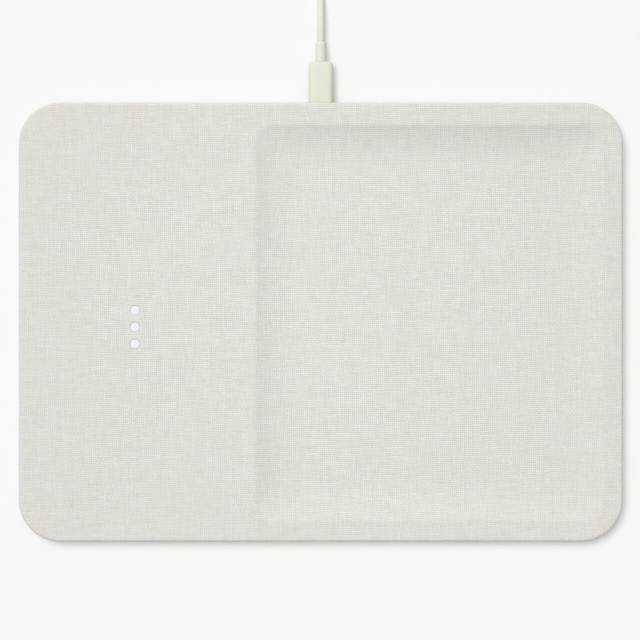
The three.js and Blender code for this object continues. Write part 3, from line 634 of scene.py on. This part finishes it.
def seat_dots(bm, weave):
    """Rolls the cloth down into a shallow dimple round each marker dot."""
    top = COVER_HIGH.z
    centres = dot_places()
    left, right = centres[0][0] - DOT_MARGIN, centres[0][0] + DOT_MARGIN
    front = min(y for _, y in centres) - DOT_MARGIN
    rear = max(y for _, y in centres) + DOT_MARGIN
    patch = []
    for face in bm.faces:
        middle = face.calc_center_median()
        if left < middle.x < right and front < middle.y < rear and middle.z > top - NEAR:
            patch.append(face)
    before = {edge for edge in bm.edges if edge.is_boundary}
    bmesh.ops.delete(bm, geom=patch, context="FACES")
    frame_edges = [edge for edge in bm.edges if edge.is_boundary and edge not in before]
    holes = []
    angles = [2 * math.pi * i / DIMPLE_SIDES for i in range(DIMPLE_SIDES)]
    for x, y in centres:
        rings = []
        for radius, depth in DIMPLE:
            reach = radius * MM
            ring = []
            for angle in angles:
                spot = (x + reach * math.cos(angle), y + reach * math.sin(angle), top - depth * MM)
                vertex = bm.verts.new(spot)
                vertex[weave] = (spot[0] / MM, spot[1] / MM, 0)
                ring.append(vertex)
            rings.append(ring)
        skin(bm, rings)
        rim = rings[0]
        holes += [bm.edges.get((a, b)) for a, b in zip(rim, rim[1:] + rim[:1])]
    bmesh.ops.triangle_fill(bm, use_beauty=True, use_dissolve=False, edges=frame_edges + holes)


def thicken(cover):
    """Turns the sheet into cloth with a thickness, inwards from the surface that shows."""
    group = cover.vertex_groups.new(name="thickness")
    reach = DIMPLE[0][0] * MM + DIMPLE_MARGIN
    centres = dot_places()
    for vertex in cover.data.vertices:
        near = any(math.hypot(vertex.co.x - x, vertex.co.y - y) < reach for x, y in centres)
        group.add([vertex.index], PRESSED if near else 1, "REPLACE")
    cloth = cover.modifiers.new("cloth", "SOLIDIFY")
    cloth.thickness = CLOTH_THICKNESS
    cloth.offset = -1
    cloth.use_quality_normals = True
    cloth.vertex_group = group.name


def make_cover():
    bm, weave = cover_mesh()
    seat_dots(bm, weave)
    cut_port(bm, weave)
    bmesh.ops.recalc_face_normals(bm, faces=bm.faces)
    cover = new_piece("linen_cover", bm, "linen", "pad")
    thicken(cover)
    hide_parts("fabric_cover")


# ---------------------------------------------------------------- dots and feet
DOT_CROWN = 0.1 * MM  # how far a dot's middle stands over its rim
DOT_EASE = 0.1 * MM  # radius of its rim
DOT_SEAT = 0.2 * MM  # how far it ends above the CAD dot's lower face
FOOT_EASE = 0.35 * MM
FOOT_SOLE = [(0.3, 0.06 * MM), (0.8, 0.04 * MM)]  # a slightly hollow sole: share of the radius, height


def make_dots():
    """Low domes with a small rounded rim."""
    for i in (1, 2, 3):
        low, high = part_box(f"marker_dot_{i}")
        radius = (high.x - low.x) / 2
        shoulder = high.z - DOT_CROWN - DOT_EASE
        profile = [(radius, low.z + DOT_SEAT), (radius, shoulder)]
        profile += arc((radius - DOT_EASE, shoulder), DOT_EASE, 15, 75, 4)
        for k in range(9, 0, -1):
            share = k / 10
            profile.append(((radius - DOT_EASE) * share, high.z - DOT_CROWN * share * share))
        place = Matrix.Translation(((low.x + high.x) / 2, (low.y + high.y) / 2, 0))
        dot = new_piece(f"marker_dot_{i}_domed", turned(profile, 48, place), "dot_silicone", "pad")
        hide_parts(f"marker_dot_{i}")


def make_feet():
    """Flat pads with a rounded lower edge."""
    for i in range(1, 7):
        low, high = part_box(f"foot_{i}")
        radius = (high.x - low.x) / 2
        profile = [(share * radius, height) for share, height in FOOT_SOLE]
        profile += arc((radius - FOOT_EASE, FOOT_EASE), FOOT_EASE, -90, 0, 6)
        profile.append((radius, high.z))
        place = Matrix.Translation(((low.x + high.x) / 2, (low.y + high.y) / 2, 0))
        foot = new_piece(f"foot_{i}_moulded", turned(profile, 56, place), "foot_silicone", "pad")
        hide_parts(f"foot_{i}")


# ---------------------------------------------------------------- plugs
def lofted(levels, place):
    """A bmesh through (y, half width, half height, corner radius) levels, listed along +Y."""
    bm = bmesh.new()
    rings = []
    for y, half_width, half_height, radius in levels:
        ring = [bm.verts.new((x, y, z)) for x, z in section(half_width, half_height, radius)]
        rings.append(ring)
    skin(bm, rings)
    bm.faces.new(rings[0])
    bm.faces.new(list(reversed(rings[-1])))
    bmesh.ops.recalc_face_normals(bm, faces=bm.faces)
    bm.transform(place)
    return bm


GRIP_HALF_WIDTH = (GRIP_HIGH.x - GRIP_LOW.x) / 2
GRIP_HALF_HEIGHT = (GRIP_HIGH.z - GRIP_LOW.z) / 2
GRIP_LENGTH = GRIP_HIGH.y - GRIP_LOW.y
GRIP_CORNER = 2.1 * MM
GRIP_FRONT_EASE = 0.3 * MM
GRIP_REAR_EASE = 1.3 * MM
GRIP_HEIGHT_PULL = 0.7  # share of the pull-in at its ends that its height takes
GRIP_CORNER_PULL = 0.4
RELIEF_LEAD_IN = 0.35 * MM  # where the relief runs out of the grip
RELIEF_NOSE = 1.4 * MM  # length of its rounded end
RELIEF_SHOULDER = RELIEF_RADIUS - 0.05 * MM
RELIEF_MOUTH = CORD_DIAMETER / 2 + 0.12 * MM
RELIEF_LIP = 0.02 * MM
RELIEF_POCKET = 0.4 * MM  # depth of the mouth round the cord
MOUTH_LENGTH = 6.5 * MM
MOUTH_HALF_WIDTH = 8.25 * MM / 2
MOUTH_HALF_HEIGHT = 1.2 * MM
MOUTH_CORNER = 1.17 * MM
MOUTH_WALL = 0.3 * MM
MOUTH_FLOOR = 0.8 * MM  # closed stretch next to the grip


def eased_ends(length, front_ease, rear_ease, steps=6):
    """(distance along, pull-in) pairs of a body whose two end edges are rounded."""
    front = [(front_ease * (1 - math.cos(a)), front_ease * (1 - math.sin(a))) for a in quarter(steps)]
    rear = [(length - rear_ease * (1 - math.sin(a)), rear_ease * (1 - math.cos(a))) for a in quarter(steps)]
    return front + rear


def make_grip(prefix, place):
    """A softly rounded block, narrower at its ends."""
    levels = []
    for y, pull in eased_ends(GRIP_LENGTH, GRIP_FRONT_EASE, GRIP_REAR_EASE):
        half_height = GRIP_HALF_HEIGHT - pull * GRIP_HEIGHT_PULL
        levels.append((y, GRIP_HALF_WIDTH - pull, half_height, GRIP_CORNER - pull * GRIP_CORNER_PULL))
    grip = new_piece(f"{prefix}grip_moulded", lofted(levels, place), "cord_plastic", "cable")
    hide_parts(f"{prefix}plug_grip")
    return grip


def make_relief(prefix, place):
    """A plain sleeve that rounds over to the cord at its end."""
    root = RELIEF_RADIUS + RELIEF_LEAD_IN
    profile = [(root, 0)]
    profile += arc((root, RELIEF_LEAD_IN), RELIEF_LEAD_IN, 270, 180, 5)[1:]
    for angle in quarter(8)[:-1]:
        narrowing = (RELIEF_SHOULDER - RELIEF_MOUTH) * (1 - math.cos(angle))
        profile.append((RELIEF_SHOULDER - narrowing, RELIEF_LENGTH - RELIEF_NOSE * (1 - math.sin(angle))))
    profile += [(RELIEF_MOUTH, RELIEF_LENGTH + RELIEF_LIP), (RELIEF_MOUTH, RELIEF_LENGTH - RELIEF_POCKET)]
    lie_along_y = Matrix.Rotation(-math.pi / 2, 4, "X")
    start = Matrix.Translation((0, GRIP_LENGTH + CONTACT_GAP / 2, 0))
    bm = turned(profile, 48, place @ start @ lie_along_y)
    relief = new_piece(f"{prefix}relief_moulded", bm, "cord_plastic", "cable")
    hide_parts(f"{prefix}strain_relief")
    return relief


def make_plug_metal(prefix, place):
    """The plug's hollow oval mouth, rolled at its lip."""
    tip = -MOUTH_LENGTH - CONTACT_GAP / 2
    roll = MOUTH_WALL / 2
    path = [(-CONTACT_GAP / 2, 0), (tip + MOUTH_WALL, 0)]
    path += [(tip + roll - roll * math.sin(a), roll - roll * math.cos(a)) for a in quarter(4)]
    path += [(tip + roll - roll * math.cos(a), roll + roll * math.sin(a)) for a in quarter(4)[1:]]
    path.append((-MOUTH_FLOOR, MOUTH_WALL))
    bm = bmesh.new()
    rings = []
    for y, pull in path:
        points = section(MOUTH_HALF_WIDTH - pull, MOUTH_HALF_HEIGHT - pull, MOUTH_CORNER - pull)
        rings.append([bm.verts.new((x, y, z)) for x, z in points])
    skin(bm, rings)
    bm.faces.new(rings[0])
    bm.faces.new(list(reversed(rings[-1])))
    bmesh.ops.recalc_face_normals(bm, faces=bm.faces)
    bm.transform(place)
    metal_piece = new_piece(f"{prefix}plug_mouth", bm, "steel", "cable")
    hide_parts(f"{prefix}plug_shell")
    return metal_piece


def make_plug(prefix, place):
    return [make_grip(prefix, place), make_relief(prefix, place), make_plug_metal(prefix, place)]


# ---------------------------------------------------------------- cord
STEPS_PER_TURN = 48
TURN_RAMP = 0.14  # share of a turn in which it crosses to the next place
LAYER_SWELL = 0.75 * MM  # how far it bulges where it climbs to the next layer
CORD_GAP = 0.3 * MM  # from the relief to the cord's tail in the CAD source
CORD_INSERT = 0.15 * MM  # how far the cord's ends reach into the reliefs


def catmull_rom(points, steps):
    """A smooth curve through the points, sampled steps times in each stretch."""
    padded = [points[0] * 2 - points[1], *points, points[-1] * 2 - points[-2]]
    curve = []
    for a, b, c, d in zip(padded, padded[1:], padded[2:], padded[3:]):
        for i in range(steps):
            t = i / steps
            curve.append(
                0.5 * ((2 * b) + (c - a) * t + (2 * a - 5 * b + 4 * c - d) * t**2
                       + (3 * b - a - 3 * c + d) * t**3)
            )
    curve.append(points[-1])
    return curve


def coil_cells():
    """The (radius, height) of each turn in winding order: layer by layer, inwards and then outwards."""
    middle = (TURNS_ACROSS - 1) / 2
    radii = [COIL_TURN_RADIUS + (middle - i) * TURN_PITCH for i in range(TURNS_ACROSS)]
    cells = []
    for layer in range(TURNS_ACROSS):
        height = COIL_BOTTOM + TURN_PITCH * (layer + 0.5)
        order = radii if layer % 2 == 0 else list(reversed(radii))
        cells += [(radius, height) for radius in order]
    return cells


def coil_points():
    """The wound turns, clockwise from above, from the coil's left side to its rear."""
    cells = coil_cells()
    points = []
    for i in range(int(TURNS * STEPS_PER_TURN) + 1):
        turn, part = divmod(i / STEPS_PER_TURN, 1)
        here = cells[int(turn)]
        there = cells[min(int(turn) + 1, len(cells) - 1)]
        share = max(0, (part - 1 + TURN_RAMP) / TURN_RAMP)
        ease = share * share * (3 - 2 * share)
        radius = here[0] + (there[0] - here[0]) * ease
        height = here[1] + (there[1] - here[1]) * ease
        if here[0] == there[0] and here[1] != there[1]:
            outward = 1 if here[0] > COIL_TURN_RADIUS else -1
            radius += outward * LAYER_SWELL * math.sin(math.pi * ease)
        angle = math.pi - 2 * math.pi * (i / STEPS_PER_TURN)
        x = COIL_CENTRE[0] + radius * math.cos(angle)
        y = COIL_CENTRE[1] + radius * math.sin(angle)
        points.append(Vector((x, y, height)))
    return points


def make_cord(start, end):
    """One cord from plug to plug, through the coil."""
    run = [Vector(point) * MM for point in CORD_RUN]
    tail = [Vector(point) * MM for point in CORD_TAIL[:-1]]
    turns = coil_points()
    lead_in = catmull_rom([start, *run, turns[0]], 4)
    lead_out = catmull_rom([turns[-1], *tail, end], 4)
    route = lead_in[:-1] + turns[:-1] + lead_out
    curve = bpy.data.curves.new("cord", "CURVE")
    curve.dimensions = "3D"
    curve.bevel_depth = CORD_DIAMETER / 2
    curve.bevel_resolution = 6
    curve.use_fill_caps = True
    spline = curve.splines.new("POLY")
    spline.points.add(len(route) - 1)
    for point, place in zip(spline.points, route):
        point.co = (*place, 1)
    cord = bpy.data.objects.new("cord", curve)
    bpy.context.scene.collection.objects.link(cord)
    curve.materials.append(MATERIALS["cord_plastic"])
    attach(cord, "cable")
    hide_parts("cord_run", "cord_coil", "cord_tail")


TIE_THICKNESS = 0.45 * MM
TIE_CORNER = 1.6 * MM
TIE_REACH = 3 * MM  # half its width
LAP_REACH = 2.8 * MM
LAP_LIFT = 0.9 * TIE_THICKNESS


def make_tie():
    """A flat strap round the bundle, with its free end lapped over on top."""
    low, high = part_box("cord_tie")
    centre = (low + high) / 2
    half_width = (high.x - low.x) / 2 - TIE_THICKNESS
    half_height = (high.z - low.z) / 2 - TIE_THICKNESS
    bm = bmesh.new()
    loop = section(half_width, half_height, TIE_CORNER)
    lap = [(x, z + LAP_LIFT) for x, z in loop if z > half_height - NEAR]
    for path, closed, reach in ((loop, True, TIE_REACH), (sorted(lap), False, LAP_REACH)):
        rings = []
        for x, z in path:
            out = Vector((x, 0, z)).normalized() if closed else Vector((0, 0, 1))
            base = Vector((x, 0, z))
            lift = out * TIE_THICKNESS
            corners = (base + Vector((0, -reach, 0)), base + Vector((0, reach, 0)))
            ring = [bm.verts.new(corners[0]), bm.verts.new(corners[1])]
            ring += [bm.verts.new(corners[1] + lift), bm.verts.new(corners[0] + lift)]
            rings.append(ring)
        if closed:
            skin(bm, [*rings, rings[0]])
        else:
            skin(bm, rings)
            bm.faces.new(rings[0])
            bm.faces.new(list(reversed(rings[-1])))
    bmesh.ops.recalc_face_normals(bm, faces=bm.faces)
    bm.transform(Matrix.Translation(centre))
    tie = new_piece("tie_strap", bm, "tie_fabric", "cable", smooth=False)
    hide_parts("cord_tie")
    return tie


def make_cable():
    """Both plugs, the cord and its tie. The far plug lies flat where the cord's tail ends."""
    near = Matrix.Translation((0, GRIP_LOW.y, PORT_Z))
    tail_end = Vector(CORD_TAIL[-1]) * MM
    reach = GRIP_LENGTH + CONTACT_GAP + RELIEF_LENGTH + CORD_GAP
    forward = Vector((math.sin(FAR_PLUG_TURN), -math.cos(FAR_PLUG_TURN), 0))
    spot = tail_end + forward * reach
    spot.z = GRIP_HALF_HEIGHT
    far = Matrix.Translation(spot) @ Matrix.Rotation(FAR_PLUG_TURN, 4, "Z")
    pieces = make_plug("", near) + make_plug("far_", far) + [make_tie()]
    in_mouth = Vector((0, GRIP_LENGTH + CONTACT_GAP / 2 + RELIEF_LENGTH - CORD_INSERT, 0))
    make_cord(near @ in_mouth, far @ in_mouth)


# ---------------------------------------------------------------- carried-over CAD nodes
def dress_nodes():
    """Gives each CAD node that still shows its slot's material."""
    slots = {row["node"]: row["material_slot"] for row in frame["record"]["subparts"]}
    for name, node in frame["nodes"].items():
        node.data.materials.clear()
        node.data.materials.append(MATERIALS[slots[name]])


# ---------------------------------------------------------------- floor, light and camera
CAMERA_HEIGHT = 1.5  # above the pad's edge
SENSOR = 36  # millimetres
VIEW_WIDTH = 275.5 * MM  # across the frame, at the height of the pad's edge
VIEW_CENTRE = (-0.34 * MM, 0.89 * MM)
EDGE_HEIGHT = 11.2 * MM
FLOOR_REACH = 12  # from the middle of the floor to its edges
FLOOR_WHITE = (0.9, 0.9, 0.9, 1)
FLOOR_LIGHT = 3.246  # what the floor gets in all, for a tone just under white
SKY_SHARE = 0.39
SEEN_SKY = 0.9  # the sky's level where it is seen or mirrored


def make_floor():
    """Plain pale paper."""
    bm = bmesh.new()
    bmesh.ops.create_grid(bm, x_segments=2, y_segments=2, size=FLOOR_REACH)
    mesh = bpy.data.meshes.new("floor")
    bm.to_mesh(mesh)
    bm.free()
    floor = bpy.data.objects.new("floor", mesh)
    bpy.context.scene.collection.objects.link(floor)
    tree = Tree("floor_paper")
    mesh.materials.append(tree.finish(Base_Color=FLOOR_WHITE, Roughness=1.0, Specular_IOR_Level=0.0))


def add_sun(name, slope_x, slope_y, share, spread_degrees):
    """A distant light. The slopes lean it off the vertical, and share is its part of the floor's light."""
    towards = Vector((slope_x, slope_y, 1)).normalized()
    light = bpy.data.lights.new(name, "SUN")
    light.energy = share * FLOOR_LIGHT / towards.z
    light.angle = math.radians(spread_degrees)
    lamp = bpy.data.objects.new(name, light)
    lamp.rotation_mode = "QUATERNION"
    lamp.rotation_quaternion = towards.to_track_quat("Z", "Y")
    bpy.context.scene.collection.objects.link(lamp)
    return light


def make_light():
    """A key from the upper left, a shadowless fill that brings out the tray's slopes, and some sky."""
    add_sun("key", slope_x=-0.175, slope_y=0.17, share=0.45, spread_degrees=22)
    fill = add_sun("fill", slope_x=-0.53, slope_y=1.29, share=0.16, spread_degrees=20)
    fill.use_shadow = False
    fill.cycles.max_bounces = 0
    world = bpy.data.worlds.new("studio")
    bpy.context.scene.world = world
    world.use_nodes = True
    nodes = world.node_tree.nodes
    links = world.node_tree.links
    background = nodes["Background"]
    background.inputs["Color"].default_value = (1, 1, 1, 1)
    path = nodes.new("ShaderNodeLightPath")
    seen = nodes.new("ShaderNodeMath")
    seen.operation = "MAXIMUM"
    links.new(path.outputs["Is Camera Ray"], seen.inputs[0])
    links.new(path.outputs["Is Glossy Ray"], seen.inputs[1])
    level = nodes.new("ShaderNodeMapRange")
    links.new(seen.outputs[0], level.inputs["Value"])
    level.inputs["To Min"].default_value = SKY_SHARE * FLOOR_LIGHT / math.pi
    level.inputs["To Max"].default_value = SEEN_SKY
    links.new(level.outputs["Result"], background.inputs["Strength"])


def make_camera():
    """Straight above the pad."""
    camera = bpy.data.cameras.new("camera")
    camera.sensor_width = SENSOR
    camera.lens = SENSOR * CAMERA_HEIGHT / VIEW_WIDTH
    camera.clip_start = 0.05
    camera.clip_end = 50
    eye = bpy.data.objects.new("camera", camera)
    eye.location = (*VIEW_CENTRE, CAMERA_HEIGHT + EDGE_HEIGHT)
    bpy.context.scene.collection.objects.link(eye)
    bpy.context.scene.camera = eye


def set_colour():
    view = bpy.context.scene.view_settings
    view.view_transform = "Standard"
    view.look = "None"
    view.exposure = 0
    view.gamma = 1


MATERIALS = make_materials()
make_camera()
make_cable()
make_cover()
make_dots()
make_feet()
dress_nodes()
make_floor()
make_light()
set_colour()
